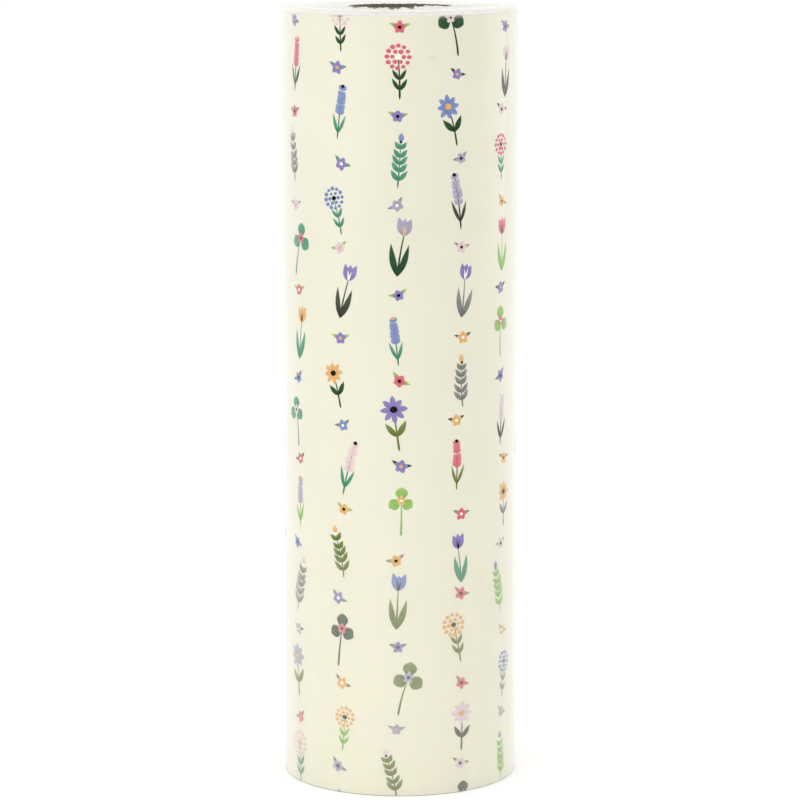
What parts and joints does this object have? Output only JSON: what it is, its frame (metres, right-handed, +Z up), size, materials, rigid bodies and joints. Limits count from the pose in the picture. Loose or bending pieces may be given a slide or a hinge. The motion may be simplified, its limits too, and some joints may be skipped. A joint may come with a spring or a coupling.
{
  "type": "wrapping paper roll",
  "caption": "Counter roll of cream gift wrapping paper with a wildflower print, wound on a cardboard core and sealed in clear shrink film; stands on end.",
  "frame": {"origin": "where the roll's axis meets the surface it stands on, at the centre of the foot", "axes": "+Z up along the axis of the roll and its core; the print stands upright along +Z; -Y is the side away from the paper's tail and the film's weld"},
  "size_m": [0.1523, 0.1522, 0.5054],
  "materials": {
    "core_board": "matt grey-brown recycled board",
    "start_tape": "double-sided adhesive tape",
    "wound_paper": "cut edges of coated paper, wound tight",
    "printed_paper": "smooth cream coated paper with a small wildflower print",
    "tail_tape": "clear adhesive tape",
    "shrink_film": "clear glossy shrink film",
    "film_weld": "clear welded bead of film"
  },
  "bodies": {
    "root": {"core_ply_1": "core_board", "core_ply_2": "core_board", "core_ply_3": "core_board", "core_ply_4": "core_board", "core_ply_5": "core_board", "core_ply_6": "core_board", "start_tape": "start_tape", "wound_paper": "wound_paper", "last_turn": "printed_paper", "tail_tabs": "tail_tape", "shrink_film": "shrink_film", "film_seam": "film_weld"}
  },
  "joints": []
}
